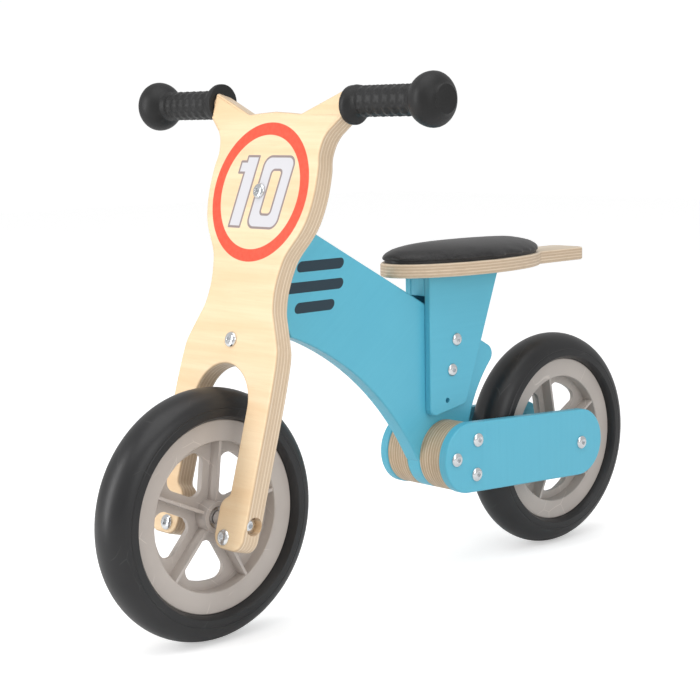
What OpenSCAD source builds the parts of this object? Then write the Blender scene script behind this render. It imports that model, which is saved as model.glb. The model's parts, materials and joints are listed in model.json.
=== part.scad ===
// Wooden balance bike: plywood fork plate, single-board frame, twin swing arms, foam-tyred wheels.
// Millimetres. +X forward, +Y to the rider's left, +Z up, the ground at z = 0, and the origin on
// the ground midway between the two wheel contacts.

/* [Wheels] */
// Distance between the wheel centres
wheelbase = 528; // [440:1:640]
// Wheel diameter over the tyre
wheel_d = 254; // [212:1:305]
// Tyre width
tyre_w = 51; // [42:1:56]
// Diameter of the rim's outer lip, where the tyre starts to show
rim_d = 194; // [160:1:200]
// Width of the rim across its two flat faces
rim_w = 33; // [28:1:36]
// Diameter of the round opening in each rim face
rim_open_d = 151; // [134:1:160]
// Thickness of the moulded rim wall and lips
rim_wall = 4; // [3:0.5:5]
// Inner diameter of the ledge that runs round the middle of the rim
rim_ledge_d = 133; // [120:1:138]
// Number of spokes
spoke_n = 5; // [4:1:6]
// Width of a spoke's flat web at its narrowest
spoke_w = 21; // [16:1:26]
// Thickness of the web and of the ledge
web_t = 5; // [4:0.5:7]
// Thickness of the upright fin along each spoke
fin_t = 3.4; // [2.5:0.1:4.5]
// Hub diameter
hub_d = 32; // [28:1:38]
// Hub width
hub_w = 38; // [30:1:42]
// Turn of the front wheel's spokes, degrees
front_phase = 24.6; // [0:0.1:72]
// Turn of the rear wheel's spokes, degrees
rear_phase = 7.3; // [0:0.1:72]

/* [Bearings and axles] */
// Bearing outer diameter
bearing_d = 22; // [22:1:26]
// Bearing width
bearing_w = 7; // [5:0.5:8]
// Axle diameter
axle_d = 8; // [6:0.5:9]
// Outer diameter of the tubes that space the hubs
spacer_d = 14; // [12:0.5:16]

/* [Boards] */
// Thickness of the frame board
frame_t = 20; // [18:0.5:26]
// Thickness of the fork plate
fork_t = 21; // [18:0.5:26]
// Thickness of each seat post plate
post_t = 9; // [7:0.5:12]
// Thickness of each swing arm
arm_t = 11.5; // [9:0.5:15]
// Thickness of each spacer drum
drum_t = 29.5; // [26:0.5:36]
// Thickness of the seat board
board_t = 15; // [12:0.5:18]

/* [Fork] */
// Backward lean of the fork plate, degrees
fork_lean = 16; // [12:0.5:20]
// Half width of the arch between the legs
arch_half = 41; // [38:0.5:46]
// Gap from the tyre to the top of the arch
arch_gap = 23.5; // [16:0.5:34]
// Half width of the gap between the two feet
foot_gap_half = 29; // [27:0.5:32]
// Half width over the feet
foot_half = 73; // [70:0.5:80]
// Half width of the waist above the legs
waist_half = 50; // [44:0.5:60]
// Half width of the round head
head_half = 81; // [76:0.5:92]
// Half width over the ears, where the grips start
ear_half = 99; // [94:0.5:112]
// Height of the fork's middle bolt line above the arch, to the number disc's centre
head_rise = 174; // [165:1:190]
// Height of the handle axis above the number disc's centre
handle_rise = 93.5; // [90:0.5:96]

/* [Steering] */
// Distance of the steering axis behind the middle of the fork plate
steer_back = 29.5; // [27:0.5:34]
// Steering pin diameter
pin_d = 10; // [8:0.5:11]
// Height of the nose's middle above the arch
nose_rise = 99.5; // [95:0.5:104]
// Length of the frame's nose along the steering axis
nose_len = 109; // [100:1:116]
// Height of each wooden block that carries the pin
block_h = 34; // [26:1:38]
// Width of each block
block_w = 36; // [26:1:40]

/* [Seat] */
// Seat board's height over the top of the wheels
seat_rise = 87; // [78:1:113]
// Cushion length
cushion_l = 244; // [203:1:262]
// Cushion width
cushion_w = 117; // [98:1:140]
// Cushion height at its crown
cushion_h = 21; // [17:1:26]
// Distance of the seat's middle behind the middle of the bike
seat_back = 114; // [95:1:124]
// Length of the board's tail behind the cushion
tail_l = 70; // [58:1:84]
// Width of the board's tail
tail_w = 50; // [42:1:60]
// Distance between the seat post's height holes
post_pitch = 34.4; // [30:0.5:38]

/* [Grips] */
// Length of each grip from the ear
grip_l = 124; // [104:1:148]
// Diameter over the grip's ridges
grip_d = 30; // [28:0.5:34]
// Diameter of the round end
grip_end_d = 52; // [44:1:58]
// Diameter of the collar against the ear
grip_collar_d = 38; // [35:0.5:42]
// Diameter of the wooden handle inside the grip
dowel_d = 20; // [17:0.5:22]

/* [Fasteners] */
// Head diameter of the large bolts
head_d = 16; // [14:0.5:17]
// Height of the bolt heads
head_h = 4; // [3:0.5:5]
// Shank diameter of the small bolts
bolt_d = 6; // [5:0.5:6.5]

/* [Hidden] */
$fn = 96;

// Clearances
run_fit = 0.05;      // radial, a shaft that turns in its bore
hole_fit = 0.1;      // radial, a bolt in a drilled hole
side_gap = 0.3;      // between faces that move past each other
past = 1;            // how far a cutting shape runs past the face it cuts

// Colours
ply = "burlywood";
paint = "skyblue";
plastic = "lightgray";
steel = "silver";
black = "#202022";

// Wheels
wheel_r = wheel_d / 2;
axle_r = axle_d / 2;
rear_c = [-wheelbase / 2, wheel_r];
front_c = [wheelbase / 2, wheel_r];

// Rear structure: the drums and arms hang on a pivot ahead of the rear tyre
tyre_gap = 30;       // from the rear tyre to the drums and to the frame's rear edge
drum_r = 38.5;
arm_r = 39.5;
pivot_rise = 11.5;   // pivot above the axles
pivot = [rear_c[0] + wheel_r + tyre_gap + drum_r, wheel_r + pivot_rise];
arm_slope = atan2(pivot_rise, pivot[0] - rear_c[0]);
pivot_bolt_r = 22.3; // radius of the ring of three bolts
rear_corner = 49;    // the frame's rear corner, as an angle about the rear axle
arm_in = frame_t / 2 + drum_t;
arm_out = arm_in + arm_t;
cross_l = 2 * arm_out - 3;   // bolts that cross both arms
sleeve_r = axle_r + 1;       // sleeve nut barrel of the large bolts
barrel_r = bolt_d / 2 + 1.6; // sleeve nut barrel of the small bolts

// Fork, measured up (u) and forward (w) from the front axle, along and square to the plate
arch_u = wheel_r + arch_gap;
ring_u = arch_u + head_rise;
handle_u = ring_u + handle_rise;
nose_mid_u = arch_u + nose_rise;
nose_top = nose_mid_u + nose_len / 2;
nose_bottom = nose_mid_u - nose_len / 2;
flange_t = 2;        // bush flange
washer_t = 1.5;
block_off = flange_t + side_gap + washer_t;
bolt_u = [nose_bottom - block_off - block_h / 2, nose_top + block_off + block_h / 2];
block_back = 11;     // block behind the steering axis
fork_bolt_l = fork_t / 2 + steer_back + pin_d / 2 - 1;
fork_bore = 2 * fork_bolt_l + 0.5;   // its hole, which ends just past the bolt
clamp_u = -16;       // leg clamp bolt below the axle
clamp_y = 45;
axle_seat = foot_half - 9;   // the front axle's heads sit in counterbores this far out
leg_barrel = 9;      // length of the sleeve nuts in the feet
axle_barrel = 14;    // length of the front axle's sleeve nut
stud_r = 4;
stud_in = 15;        // how deep the stud goes into the ear

// Seat
seat_z = wheel_d + seat_rise;
board_top = seat_z + board_t;
post_front = [-40, seat_z];
post_tilt = 20.6;    // slope of the post's rear edge
post_top_l = 114;
post_h = 156;
hole_tilt = 12.6;    // slope of the line of height holes
post_hole = [-82, seat_z - 74];
post_out = frame_t / 2 + post_t;
base_t = 4;          // hard base under the cushion
screw_d = 4;
board_screw_x = [-56, -88, -120];                  // down through the board into the block
base_screw = [[-25, 0], [-172, 18], [-172, -18]];  // up through the board into the base

// A point of the fork plate's side view, w forward and u up, in the bike's x and z
function fork_pt(w, u) = [
    front_c[0] + w * cos(fork_lean) - u * sin(fork_lean),
    front_c[1] + w * sin(fork_lean) + u * cos(fork_lean)
];

// Points of a circle from angle a to angle b
function arc(c, r, a, b, n) = [
    for (i = [0:n]) c + r * [cos(a + (b - a) * i / n), sin(a + (b - a) * i / n)]
];

// Points of the arc from p to q that bows sideways by s
function bow(p, q, s, n) =
    let (half = norm(q - p) / 2,
         r = (half * half + s * s) / (2 * s),
         d = (q - p) / norm(q - p),
         c = (p + q) / 2 + [d[1], -d[0]] * (r - s),
         a = atan2(p[1] - c[1], p[0] - c[0]),
         sweep = 2 * asin(half / r))
    arc(c, r, a, a - sweep, n);

// A smooth curve through a list of points, n steps to each stretch
function curve_pt(a, b, c, d, t) =
    0.5 * (2 * b + (c - a) * t + (2 * a - 5 * b + 4 * c - d) * t * t
           + (3 * b - a - 3 * c + d) * t * t * t);
function curve(p, n) = [
    for (i = [0:len(p) - 2], k = [0:n - 1])
        curve_pt(p[max(i - 1, 0)], p[i], p[i + 1], p[min(i + 2, len(p) - 1)], k / n),
    p[len(p) - 1]
];

// Mirror a list of points across the fork's middle and run it backwards
function flipped(p) = [for (i = [len(p) - 1:-1:0]) [-p[i][0], p[i][1]]];

// Stand a side view up: its x stays, its y becomes z, and it is centred on y = 0
module slab(t) {
    rotate([90, 0, 0]) linear_extrude(height = t, center = true) children();
}

// Put children at a side-view point, with their z axis along +y
module across(p, y) {
    translate([p[0], y, p[1]]) rotate([-90, 0, 0]) children();
}

// Draw children in the fork's own frame: x forward, z up the plate, from the front axle
module on_fork() {
    translate([front_c[0], 0, front_c[1]]) rotate([0, -fork_lean, 0]) children();
}

// Dome head with a hexagon socket, seated at z = 0 and standing up
module dome_head(d, h) {
    r = d / 2;
    difference() {
        rotate_extrude() polygon([[0, 0], [r, 0], [r, h * 0.3], [r * 0.93, h * 0.55],
                                  [r * 0.78, h * 0.78], [r * 0.55, h * 0.93], [0, h]]);
        translate([0, 0, h * 0.3]) cylinder(d = 5.8, h = h, $fn = 6);
    }
}

// Bolt with a dome head, its shank going down
module bolt(d, l, hd, hh) {
    dome_head(hd, hh);
    translate([0, 0, -l]) cylinder(d = d, h = l + 0.2 * hh);
}

// Sleeve nut: the same head, with a hollow barrel that takes a bolt of diameter d
module sleeve_nut(d, barrel_d, l, hd, hh) {
    dome_head(hd, hh);
    translate([0, 0, -l]) difference() {
        cylinder(d = barrel_d, h = l + 0.2 * hh);
        translate([0, 0, -past]) cylinder(r = d / 2 + run_fit, h = l + past);
    }
}

// Tube of length l
module tube(do, di, l) {
    difference() {
        cylinder(d = do, h = l);
        translate([0, 0, -past]) cylinder(d = di, h = l + 2 * past);
    }
}

// ---------------------------------------------------------------- frame

// The bare outline: the nose, the straight top edge, the rear edge round the tyre, the lower bow
module frame_board() {
    low_start = fork_pt(-steer_back - 29.5, nose_bottom - 6);
    low_end = pivot + drum_r * [cos(-10), sin(-10)];
    nose_front = 13 - steer_back;
    difference() {
        polygon(concat(
            [fork_pt(nose_front, nose_bottom), fork_pt(nose_front, nose_top),
             fork_pt(-steer_back - 11.5, nose_top),
             rear_c + (wheel_r + tyre_gap) * [cos(rear_corner), sin(rear_corner)],
             pivot + [-drum_r, 0]],
            bow(low_end, low_start, 22.4, 24),
            [fork_pt(-steer_back - 24, nose_bottom)]
        ));
        translate(rear_c) circle(r = wheel_r + tyre_gap, $fn = 180);
    }
}

// Well rounded behind, and crisp from the middle to the nose
module frame_outline() {
    offset(r = 12) offset(delta = -12) frame_board();
    intersection() {
        offset(r = 3) offset(delta = -3) frame_board();
        translate([0, wheel_r]) square(wheelbase);
    }
    translate(pivot) circle(r = drum_r);
}

module pivot_bolt_places() {
    for (a = [0, 120, 240])
        translate([pivot[0], 0, pivot[1]]) rotate([0, -arm_slope - a, 0])
            translate([pivot_bolt_r, 0, 0]) children();
}

module post_bolt_places(list) {
    for (i = list)
        translate([post_hole[0] + i * post_pitch * sin(hole_tilt), 0,
                   post_hole[1] - i * post_pitch * cos(hole_tilt)]) children();
}

// A round hole along y through everything between -h and h
module y_hole(r, h) {
    rotate([90, 0, 0]) cylinder(r = r, h = 2 * h, center = true);
}

module main_frame() {
    color(paint) difference() {
        slab(frame_t) frame_outline();
        on_fork() translate([-steer_back, 0, nose_bottom - past])
            cylinder(r = pin_d / 2 + 1.5 + run_fit, h = nose_len + 2 * past);
        pivot_bolt_places() y_hole(axle_r + hole_fit, frame_t);
        post_bolt_places([0, 1]) y_hole(bolt_d / 2 + hole_fit, frame_t);
    }
}

module nose_bush() {
    color("whitesmoke") difference() {
        union() {
            translate([0, 0, -18]) cylinder(r = pin_d / 2 + 1.5, h = 18);
            cylinder(r = frame_t / 2 - 0.5, h = flange_t);
        }
        translate([0, 0, -20]) cylinder(r = pin_d / 2 + run_fit, h = 20 + flange_t + past);
    }
}

module nose_bush_upper() {
    on_fork() translate([-steer_back, 0, nose_top]) nose_bush();
}

module nose_bush_lower() {
    on_fork() translate([-steer_back, 0, nose_bottom]) mirror([0, 0, 1]) nose_bush();
}

// ---------------------------------------------------------------- seat post

module post_outline() {
    rear_top = post_front[0] - post_top_l;
    rear_low = rear_top + (post_h - 7) * tan(post_tilt);
    offset(r = 9) offset(delta = -9) polygon([
        post_front, [rear_top, seat_z], [rear_low, seat_z - post_h + 7],
        [post_front[0], seat_z - post_h - 2]
    ]);
    // The top corners stay square, against the seat board
    polygon([post_front, [rear_top, seat_z],
             [rear_top + 30 * tan(post_tilt), seat_z - 30], post_front - [0, 30]]);
}

module post_plate(side, hole_r) {
    color(paint) difference() {
        translate([0, side * (frame_t + post_t) / 2, 0]) slab(post_t) post_outline();
        post_bolt_places([0, 1]) y_hole(hole_r, 2 * post_out);
        post_bolt_places([2]) y_hole(bolt_d / 2 + hole_fit, 2 * post_out);
    }
}

module seat_post_left() { post_plate(1, bolt_d / 2 + hole_fit); }
module seat_post_right() { post_plate(-1, barrel_r + hole_fit); }

// Block glued between the two plates, under the seat board
module seat_post_block() {
    h = 23;
    rear = post_front[0] - post_top_l;
    color(paint) difference() {
        slab(frame_t) polygon([
            post_front, [rear, seat_z], [rear + h * tan(post_tilt), seat_z - h],
            post_front - [0, h]
        ]);
        for (x = board_screw_x) translate([x, 0, seat_z - 20.5])
            cylinder(r = screw_d / 2 - 0.1, h = 21.5);
    }
}

module seat_post_bolts() {
    color(steel) post_bolt_places([0, 1]) translate([0, post_out, 0]) rotate([-90, 0, 0])
        bolt(bolt_d, frame_t + 2 * post_t - 2.5, head_d - 1.5, head_h - 0.5);
}

module seat_post_nuts() {
    color(steel) post_bolt_places([0, 1]) translate([0, -post_out, 0]) rotate([90, 0, 0])
        sleeve_nut(bolt_d, 2 * barrel_r, post_t - 0.5, head_d - 1.5, head_h - 0.5);
}

// ---------------------------------------------------------------- seat

// Oval of the cushion, inset by g, drawn with n sides
module seat_oval(g, n = 96) {
    translate([-seat_back, 0]) polygon([
        for (i = [0:n - 1])
            [(cushion_l / 2 - g) * cos(360 * i / n), (cushion_w / 2 - g) * sin(360 * i / n)]
    ]);
}

module board_outline() {
    corner = 12;
    tail_end = -seat_back - cushion_l / 2 - tail_l;
    offset(r = -14) offset(delta = 14) {
        seat_oval(3);
        offset(r = corner) translate([tail_end + corner, corner - tail_w / 2])
            square([tail_l + 60, tail_w - 2 * corner]);
    }
}

module seat_board() {
    color(ply) difference() {
        translate([0, 0, seat_z]) linear_extrude(height = board_t) board_outline();
        for (x = board_screw_x) translate([x, 0, board_top]) {
            translate([0, 0, -board_t - past]) cylinder(d = screw_d + 0.2, h = board_t + 2 * past);
            translate([0, 0, -3]) cylinder(d1 = screw_d, d2 = 2 * screw_d + 0.4, h = 3.01);
        }
        for (p = base_screw) translate([p[0], p[1], seat_z]) {
            translate([0, 0, -past]) cylinder(d = screw_d + 0.2, h = board_t + 2 * past);
            translate([0, 0, -0.01]) cylinder(d1 = 2 * screw_d + 0.4, d2 = screw_d, h = 3);
        }
    }
}

// Wood screw, its flat head's top at z = 0
module wood_screw(l) {
    rotate_extrude() polygon([[0, 0], [screw_d, 0], [screw_d / 2 - 0.2, -2.8],
                              [screw_d / 2 - 0.2, -l + 4], [0, -l]]);
}

module seat_board_screws() {
    color(steel) for (x = board_screw_x) translate([x, 0, board_top - 0.2]) wood_screw(board_t + 20);
}

module seat_base_screws() {
    color(steel) for (p = base_screw) translate([p[0], p[1], seat_z + 0.2]) mirror([0, 0, 1])
        wood_screw(board_t + 3);
}

// Hard oval base that the cushion is stretched over
module seat_base() {
    color("dimgray") difference() {
        translate([0, 0, board_top]) linear_extrude(height = base_t) seat_oval(8);
        for (p = base_screw) translate([p[0], p[1], board_top - past])
            cylinder(r = screw_d / 2 - 0.1, h = base_t + 2 * past);
    }
}

// Crowned soft cushion, wrapped down over the base
module seat_cushion() {
    color(black) difference() {
        hull() {
            for (s = [[0.3, 3], [5, 0], [11, 4], [16, 15], [cushion_h, 42]])
                translate([0, 0, board_top + s[0] - 0.3]) linear_extrude(height = 0.3)
                    seat_oval(s[1], 48);
        }
        translate([0, 0, board_top - past]) linear_extrude(height = past + base_t + 0.3)
            seat_oval(7.7);
    }
}

// ---------------------------------------------------------------- rear

module arm_outline() {
    translate(pivot) circle(r = arm_r);
    translate(rear_c) circle(r = arm_r);
    translate(rear_c) rotate(arm_slope) translate([0, -arm_r])
        square([norm(pivot - rear_c), 2 * arm_r]);
}

module swing_arm(side, hole_r) {
    color(paint) difference() {
        translate([0, side * (arm_in + arm_t / 2), 0]) slab(arm_t) arm_outline();
        pivot_bolt_places() y_hole(hole_r, 2 * arm_out);
        translate([rear_c[0], 0, rear_c[1]]) y_hole(hole_r, 2 * arm_out);
    }
}

module swing_arm_left() { swing_arm(1, axle_r + hole_fit); }
module swing_arm_right() { swing_arm(-1, sleeve_r + hole_fit); }

// Laminated disc that carries an arm clear of the frame
module drum(side) {
    color(ply) difference() {
        across(pivot, side > 0 ? frame_t / 2 : -arm_in) cylinder(r = drum_r, h = drum_t);
        pivot_bolt_places() y_hole(axle_r + hole_fit, 2 * arm_out);
    }
}

module drum_left() { drum(1); }
module drum_right() { drum(-1); }

module arm_bolts() {
    color(steel) pivot_bolt_places() translate([0, arm_out, 0]) rotate([-90, 0, 0])
        bolt(axle_d, cross_l, head_d, head_h);
}

module arm_nuts() {
    color(steel) pivot_bolt_places() translate([0, -arm_out, 0]) rotate([90, 0, 0])
        sleeve_nut(axle_d, 2 * sleeve_r, arm_t - 0.5, head_d, head_h);
}

module rear_axle() {
    color(steel) across(rear_c, arm_out) bolt(axle_d, cross_l, head_d, head_h);
}

module rear_axle_nut() {
    color(steel) translate([rear_c[0], -arm_out, rear_c[1]]) rotate([90, 0, 0])
        sleeve_nut(axle_d, 2 * sleeve_r, arm_t - 0.5, head_d, head_h);
}

// Two tubes between a hub and what holds its axle, whose inner faces are at +-reach
module hub_spacers(c, reach) {
    start = hub_w / 2 + side_gap;
    for (s = [-1, 1]) across(c, s > 0 ? start : -reach)
        tube(spacer_d, axle_d + 2 * hole_fit, reach - start);
}

// Tube on the axle between the two bearings
module hub_sleeve(c) {
    l = hub_w - 2 * bearing_w - 2 * side_gap;
    across(c, -l / 2) tube(spacer_d - 2, axle_d + 2 * hole_fit, l);
}

module rear_spacers() { color(plastic) hub_spacers(rear_c, arm_in); }
module rear_sleeve() { color(steel) hub_sleeve(rear_c); }

// ---------------------------------------------------------------- wheels

rim_r = rim_d / 2;
rim_open_r = rim_open_d / 2;
ledge_r = rim_ledge_d / 2;
floor_r = rim_open_r + rim_wall;
channel_h = rim_w / 2 - rim_wall;

// Channel that holds the tyre, with bevelled lips
module rim_channel() {
    b = 0.8;
    rotate_extrude($fn = 180) difference() {
        polygon([[rim_open_r, -rim_w / 2 + b], [rim_open_r + b, -rim_w / 2],
                 [rim_r - b, -rim_w / 2], [rim_r, -rim_w / 2 + b], [rim_r, rim_w / 2 - b],
                 [rim_r - b, rim_w / 2], [rim_open_r + b, rim_w / 2],
                 [rim_open_r, rim_w / 2 - b]]);
        translate([floor_r, -channel_h]) square([rim_r, 2 * channel_h]);
    }
}

// The openings between the spokes: flat sides along each spoke, and rounded corners
module rim_windows() {
    corner = 11;
    offset(r = corner) offset(delta = -corner) difference() {
        circle(r = ledge_r);
        circle(r = hub_d / 2 + 6);
        for (i = [0:spoke_n - 1]) rotate(360 * i / spoke_n)
            translate([0, -spoke_w / 2]) square([ledge_r + past, spoke_w]);
    }
}

// Moulded rim, its axis along z
module rim(phase) {
    color(plastic) rotate(phase) difference() {
        union() {
            rim_channel();
            translate([0, 0, -web_t / 2]) linear_extrude(height = web_t) difference() {
                circle(r = rim_open_r + rim_wall / 2);
                rim_windows();
            }
            for (i = [0:spoke_n - 1]) rotate(360 * i / spoke_n)
                translate([hub_d / 2 - 2, -fin_t / 2, -rim_w / 2 + 1])
                    cube([rim_open_r - hub_d / 2 + 2 + rim_wall / 2, fin_t, rim_w - 2]);
            translate([0, 0, -hub_w / 2]) cylinder(d = hub_d, h = hub_w);
        }
        translate([0, 0, -hub_w]) cylinder(r = bearing_d / 2 - 2, h = 2 * hub_w);
        for (s = [-1, 1]) translate([0, 0, s * (hub_w / 2 - bearing_w / 2 + past / 2)])
            cylinder(r = bearing_d / 2 + 0.02, h = bearing_w + past, center = true);
    }
}

// Foam tyre, its axis along z: a foot in the rim's channel under a round body
module tyre() {
    side_r = rim_r + 4;
    crown = wheel_r - side_r;
    half = tyre_w / 2;
    body = [for (a = [90:-9:-90]) [side_r + crown * pow(cos(a), 0.8),
                                  half * sin(a)]];
    color(black) rotate_extrude($fn = 180) polygon(concat(
        [[floor_r + hole_fit, -channel_h + hole_fit], [floor_r + hole_fit, channel_h - hole_fit],
         [rim_r + hole_fit, channel_h - hole_fit], [rim_r + hole_fit, rim_w / 2],
         [rim_r + 1, half - 4]],
        body,
        [[rim_r + 1, -half + 4], [rim_r + hole_fit, -rim_w / 2],
         [rim_r + hole_fit, -channel_h + hole_fit]]
    ));
}

// Sealed ball bearings, one in each end of the hub
module bearings() {
    r = bearing_d / 2;
    color(steel) for (s = [-1, 1]) translate([0, 0, s * (hub_w - bearing_w) / 2])
        rotate_extrude() translate([0, -bearing_w / 2]) polygon([
            [axle_r + run_fit, 0], [axle_r + 2, 0], [axle_r + 2, 0.5], [r - 1.8, 0.5],
            [r - 1.8, 0], [r, 0], [r, bearing_w], [r - 1.8, bearing_w],
            [r - 1.8, bearing_w - 0.5], [axle_r + 2, bearing_w - 0.5],
            [axle_r + 2, bearing_w], [axle_r + run_fit, bearing_w]
        ]);
}

module front_tyre() { across(front_c, 0) tyre(); }
module front_rim() { across(front_c, 0) rim(-front_phase); }
module front_bearings() { across(front_c, 0) bearings(); }
module rear_tyre() { across(rear_c, 0) tyre(); }
module rear_rim() { across(rear_c, 0) rim(-rear_phase); }
module rear_bearings() { across(rear_c, 0) bearings(); }

// ---------------------------------------------------------------- fork

// One side of the plate from the leg up to the ear, heights counted from the top of the arch
plate_side = [
    [foot_half + 1, -arch_u], [foot_half + 1, -100], [foot_half + 1, -40], [foot_half, -4],
    [foot_half - 2, 16], [foot_half - 6, 27], [waist_half + 9, 44], [waist_half + 2.5, 59],
    [waist_half, 79], [waist_half + 2.5, 100], [head_half - 23.5, 114], [head_half - 9.5, 135],
    [head_half - 3, 152], [head_half, 174], [head_half - 1, 198], [head_half - 4, 213],
    [head_half - 2, 227], [head_half + 3, 236]
];
ear_low = head_rise + 76;
ear_tip = head_rise + 104.5;
dip = head_rise + 80;
brow = [[39, dip], [20, dip + 1.5]];
foot_low = -27.5;    // bottom of the feet below the axle
foot_top = 24;       // where the feet narrow to the legs

module plate_outline() {
    half = concat(curve(plate_side, 5), [[ear_half, ear_low], [ear_half, ear_tip]], brow);
    offset(r = 2.5) offset(delta = -2.5) offset(r = -7) offset(delta = 7) {
        translate([0, arch_u]) difference() {
            polygon(concat(half, [[0, dip + 2.7]], flipped(half)));
            translate([0, -arch_half]) circle(r = arch_half);
            translate([-arch_half, -arch_u - past])
                square([2 * arch_half, arch_u - arch_half + past]);
        }
        plate_foot();
        mirror([1, 0]) plate_foot();
    }
}

// One rounded foot
module plate_foot() {
    r = 14;
    offset(r = r) offset(delta = -r) translate([foot_gap_half, foot_low])
        square([foot_half - foot_gap_half, foot_top - foot_low]);
}

// Places of the bolt through each foot, z forward out of the plate's front face
module leg_bolt_places() {
    on_fork() for (s = [-1, 1]) translate([fork_t / 2, s * clamp_y, clamp_u])
        rotate([0, 90, 0]) children();
}

// Places of the two bolts down the middle, the same way
module fork_bolt_places() {
    on_fork() for (u = bolt_u) translate([fork_t / 2, 0, u]) rotate([0, 90, 0]) children();
}

module fork_plate() {
    color(ply) difference() {
        on_fork() rotate([90, 0, 90]) linear_extrude(height = fork_t, center = true)
            plate_outline();
        leg_bolt_places() {
            cylinder(r = bolt_d / 2 + hole_fit, h = 3 * fork_t, center = true);
            translate([0, 0, -fork_t - past])
                cylinder(r = barrel_r + hole_fit, h = past + leg_barrel + 0.5);
        }
        fork_bolt_places() cylinder(r = bolt_d / 2 + hole_fit, h = 3 * fork_t, center = true);
        // The front axle crosses both feet from the outside edges
        translate([front_c[0], 0, front_c[1]]) {
            y_hole(axle_r + hole_fit, 2 * foot_half);
            for (s = [-1, 1]) translate([0, s * (axle_seat + 20), 0])
                y_hole(head_d / 2 + 1.2, 20);
            translate([0, -axle_seat, 0]) y_hole(sleeve_r + hole_fit, axle_barrel + 0.5);
        }
        on_fork() for (s = [-1, 1])
            translate([0, s * (ear_half - stud_in / 2 + past / 2), handle_u])
                y_hole(stud_r + hole_fit, (stud_in + past) / 2 + 0.15);
    }
}

module leg_bolts() {
    color(steel) leg_bolt_places() bolt(bolt_d, fork_t - 2.5, head_d, head_h);
}

module leg_nuts() {
    color(steel) leg_bolt_places() translate([0, 0, -fork_t]) mirror([0, 0, 1])
        sleeve_nut(bolt_d, 2 * barrel_r, leg_barrel, head_d, head_h);
}

module fork_bolts() {
    color(steel) fork_bolt_places()
        bolt(bolt_d, fork_bolt_l, head_d, head_h);
}

// Wooden block behind the plate that carries one end of the steering pin
module fork_block(u) {
    depth = steer_back + block_back - fork_t / 2;
    color(ply) difference() {
        on_fork() translate([-fork_t / 2 - depth, -block_w / 2, u - block_h / 2])
            linear_extrude(height = block_h) block_outline(depth);
        on_fork() translate([-steer_back, 0, u - block_h])
            cylinder(r = pin_d / 2 + hole_fit, h = 2 * block_h);
        fork_bolt_places() cylinder(r = bolt_d / 2 + hole_fit, h = fork_bore, center = true);
    }
}

// Square against the plate and rounded behind
module block_outline(depth) {
    translate([depth / 2, 0]) square([depth / 2, block_w]);
    offset(r = 6) offset(delta = -6) square([depth, block_w]);
}

module fork_block_upper() { fork_block(bolt_u[1]); }
module fork_block_lower() { fork_block(bolt_u[0]); }

module steering_pin() {
    low = bolt_u[0] - block_h / 2 + 1;
    high = bolt_u[1] + block_h / 2 - 1;
    color(steel) difference() {
        on_fork() translate([-steer_back, 0, low]) cylinder(d = pin_d, h = high - low);
        fork_bolt_places() cylinder(r = bolt_d / 2 + run_fit, h = fork_bore, center = true);
    }
}

module steering_washers() {
    color(steel) on_fork() for (u = [nose_bottom - flange_t - side_gap - washer_t,
                                     nose_top + flange_t + side_gap])
        translate([-steer_back, 0, u]) tube(frame_t - 2, pin_d + 2 * hole_fit, washer_t);
}

// ---------------------------------------------------------------- handles

// Put children at an ear's side edge, with their z axis outwards
module at_ear(side) {
    on_fork() translate([0, side * ear_half, handle_u]) rotate([-90 * side, 0, 0]) children();
}

dowel_l = grip_l - 12;
module handle(side) {
    color(ply) at_ear(side) difference() {
        cylinder(d = dowel_d, h = dowel_l);
        translate([0, 0, -past]) cylinder(r = stud_r + hole_fit, h = 2 * stud_in + 1.5);
    }
}

module handle_left() { handle(1); }
module handle_right() { handle(-1); }

module handle_studs() {
    color(steel) for (s = [-1, 1]) at_ear(s) translate([0, 0, -stud_in])
        cylinder(r = stud_r, h = 3 * stud_in);
}

// Rubber grip: a collar, a ridged body and a round end
ridge_pitch = 11.1;
ridge_h = 1.1;
module grip(side) {
    r = grip_d / 2;
    end_r = grip_end_d / 2;
    end_c = grip_l - 17;
    inner = 23.3;
    body_end = end_c - inner * sqrt(1 - pow(r / end_r, 2));
    color(black) at_ear(side) difference() {
        rotate_extrude() polygon(concat(
            [[0, 0], [grip_collar_d / 2 - 1.5, 0], [grip_collar_d / 2, 1.5],
             [grip_collar_d / 2, 4.5], [grip_collar_d / 2 - 2, 7], [r + 0.4, 11]],
            [for (z = [13:ridge_pitch / 6:body_end - 1])
                [r - ridge_h * (0.5 - 0.5 * cos(360 * (z - 10) / ridge_pitch)), z]],
            [for (a = [-asin((end_c - body_end) / inner):8:0])
                [end_r * cos(a), end_c + inner * sin(a)]],
            [for (a = [6:12:78]) [end_r * cos(a), end_c + 17 * sin(a)]],
            [[0, grip_l]]
        ));
        translate([0, 0, -past]) cylinder(r = dowel_d / 2 + run_fit, h = past + dowel_l + 0.5);
    }
}

module grip_left() { grip(1); }
module grip_right() { grip(-1); }

// ---------------------------------------------------------------- front axle

module front_axle() {
    color(steel) across(front_c, axle_seat)
        bolt(axle_d, 2 * axle_seat - 3, head_d, head_h);
}

module front_axle_nut() {
    color(steel) translate([front_c[0], -axle_seat, front_c[1]]) rotate([90, 0, 0])
        sleeve_nut(axle_d, 2 * sleeve_r, axle_barrel, head_d, head_h);
}

module front_spacers() { color(plastic) hub_spacers(front_c, foot_gap_half); }
module front_sleeve() { color(steel) hub_sleeve(front_c); }

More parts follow.
